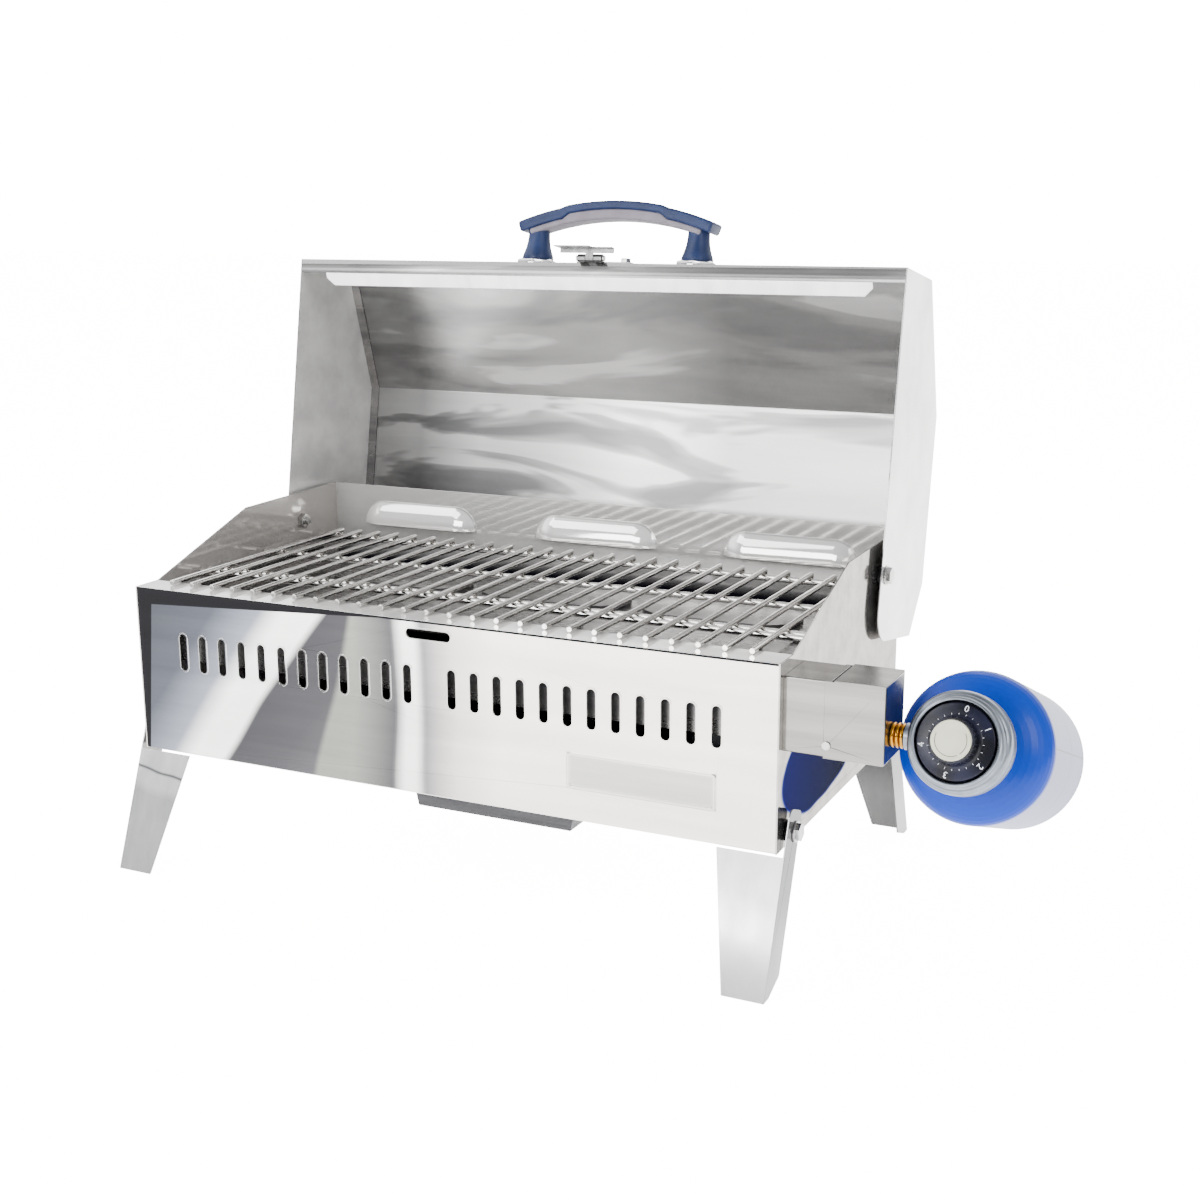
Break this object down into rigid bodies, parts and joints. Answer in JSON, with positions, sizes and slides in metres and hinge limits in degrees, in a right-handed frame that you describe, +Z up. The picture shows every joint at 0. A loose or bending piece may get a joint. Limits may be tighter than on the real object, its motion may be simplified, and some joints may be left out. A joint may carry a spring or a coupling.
{
  "type": "folding camp grill",
  "caption": "Table-top gas grill with folding legs, a hinged lid with an arched handle and latch, a lift-out rod grate, and a dial regulator carrying a screw-on gas cylinder.",
  "frame": {"origin": "on the ground under the middle of the outer box, with the legs down and the lid open", "axes": "+X to the gas side on the right, +Y to the hinge side at the back, +Z up"},
  "size_m": [0.6788, 0.3688, 0.4927],
  "materials": {
    "polished_steel": "mirror-polished stainless sheet",
    "burner_steel": "rolled stainless tube",
    "fastener_steel": "bright hexagon hardware",
    "dark_spacer": "dark nylon spacer",
    "brass": "turned brass",
    "handle_blue": "satin moulded nylon",
    "handle_grey": "soft grip insert",
    "chrome": "chromed base",
    "latch_steel": "pressed steel",
    "grate_steel": "electropolished rod",
    "tray_steel": "satin pressed pan",
    "cast_alloy": "satin die casting",
    "dial_black": "moulded dial",
    "disc_ivory": "ivory disc",
    "cylinder_blue": "gloss enamel",
    "sleeve_white": "pale gloss sleeve",
    "ring_dark": "dark enamel ring"
  },
  "bodies": {
    "firebox": {"firebox_shell": "polished_steel", "side_panel_left": "polished_steel", "side_panel_right": "polished_steel", "support_ledges": "polished_steel", "front_baffle": "polished_steel", "radiant_plate": "polished_steel", "burner_tube": "burner_steel", "burner_bracket": "burner_steel", "venturi_mouth": "burner_steel", "tunnel_housing": "polished_steel", "tunnel_cover": "polished_steel", "tunnel_screws": "fastener_steel", "gas_fitting": "brass", "tray_rails": "polished_steel", "hinge_bolts": "fastener_steel", "hinge_spacers": "dark_spacer", "hinge_nuts": "fastener_steel", "leg_bolts": "fastener_steel", "leg_spacers": "dark_spacer", "leg_nuts": "fastener_steel"},
    "lid": {"lid_shell": "polished_steel", "lid_cap_left": "polished_steel", "lid_cap_right": "polished_steel", "lid_corner_flanges": "polished_steel", "lid_lip": "polished_steel", "handle_bar": "handle_blue", "handle_insert": "handle_grey", "handle_posts": "handle_blue", "handle_bases": "chrome", "handle_screws": "fastener_steel", "latch_leaf": "latch_steel", "latch_pin": "fastener_steel", "latch_bolt": "fastener_steel"},
    "latch": {"latch_hook": "latch_steel"},
    "front_left_leg": {"leg_front_left": "polished_steel"},
    "front_right_leg": {"leg_front_right": "polished_steel"},
    "rear_left_leg": {"leg_rear_left": "polished_steel"},
    "rear_right_leg": {"leg_rear_right": "polished_steel"},
    "grate": {"grate_rods": "grate_steel", "grate_cross_rods": "grate_steel"},
    "tray": {"grease_tray": "tray_steel"},
    "regulator": {"regulator_body": "cast_alloy", "regulator_bezel": "cast_alloy", "cylinder_socket": "cast_alloy"},
    "spindle": {"control_spindle": "brass"},
    "dial": {"control_dial": "dial_black", "dial_disc": "disc_ivory"},
    "cylinder": {"cylinder_shell": "cylinder_blue", "cylinder_sleeve": "sleeve_white", "cylinder_base_ring": "ring_dark", "cylinder_valve": "brass"}
  },
  "joints": [
    {"name": "lid_hinge", "type": "hinge", "parent": "firebox", "child": "lid", "pos_m": [-0.0748, 0.05909, 0.2273], "axis": [1, 0, 0], "range_deg": [0, 100]},
    {"name": "latch_turn", "type": "hinge", "parent": "lid", "child": "latch", "pos_m": [-0.06355, 0.08338, 0.44915], "axis": [1, 0, 0], "range_deg": [0, 90]},
    {"name": "front_left_fold", "type": "hinge", "parent": "firebox", "child": "front_left_leg", "pos_m": [-0.3318, -0.13091, 0.0972], "axis": [1, 0, 0], "range_deg": [0, 111]},
    {"name": "front_right_fold", "type": "hinge", "parent": "firebox", "child": "front_right_leg", "pos_m": [0.1822, -0.13091, 0.0972], "axis": [1, 0, 0], "range_deg": [0, 111]},
    {"name": "rear_left_fold", "type": "hinge", "parent": "firebox", "child": "rear_left_leg", "pos_m": [-0.3318, 0.09309, 0.0972], "axis": [-1, 0, 0], "range_deg": [0, 111]},
    {"name": "rear_right_fold", "type": "hinge", "parent": "firebox", "child": "rear_right_leg", "pos_m": [0.1822, 0.09309, 0.0972], "axis": [-1, 0, 0], "range_deg": [0, 111]},
    {"name": "grate_lift", "type": "slide", "parent": "firebox", "child": "grate", "axis": [0, 0, 1], "range_m": [0, 0.04]},
    {"name": "tray_slide", "type": "slide", "parent": "firebox", "child": "tray", "axis": [0, -1, 0], "range_m": [0, 0.15]},
    {"name": "regulator_swivel", "type": "hinge", "parent": "firebox", "child": "regulator", "pos_m": [0.2552, -0.12891, 0.1707], "axis": [1, 0, 0], "range_deg": [-40, 40]},
    {"name": "dial_turn", "type": "hinge", "parent": "regulator", "child": "spindle", "pos_m": [0.2902, -0.12891, 0.1707], "axis": [0, -0.9367, 0.3502], "range_deg": [0, 270]},
    {"name": "dial_push", "type": "slide", "parent": "spindle", "child": "dial", "axis": [0, 0.9367, -0.3502], "range_m": [0, 0.002], "stiffness_N_per_m": 400, "springref_m": -0.002},
    {"name": "cylinder_unscrew", "type": "hinge", "parent": "regulator", "child": "cylinder", "pos_m": [0.2902, -0.12891, 0.1707], "axis": [0, 0.9367, -0.3502], "range_deg": [0, 1800]}
  ]
}
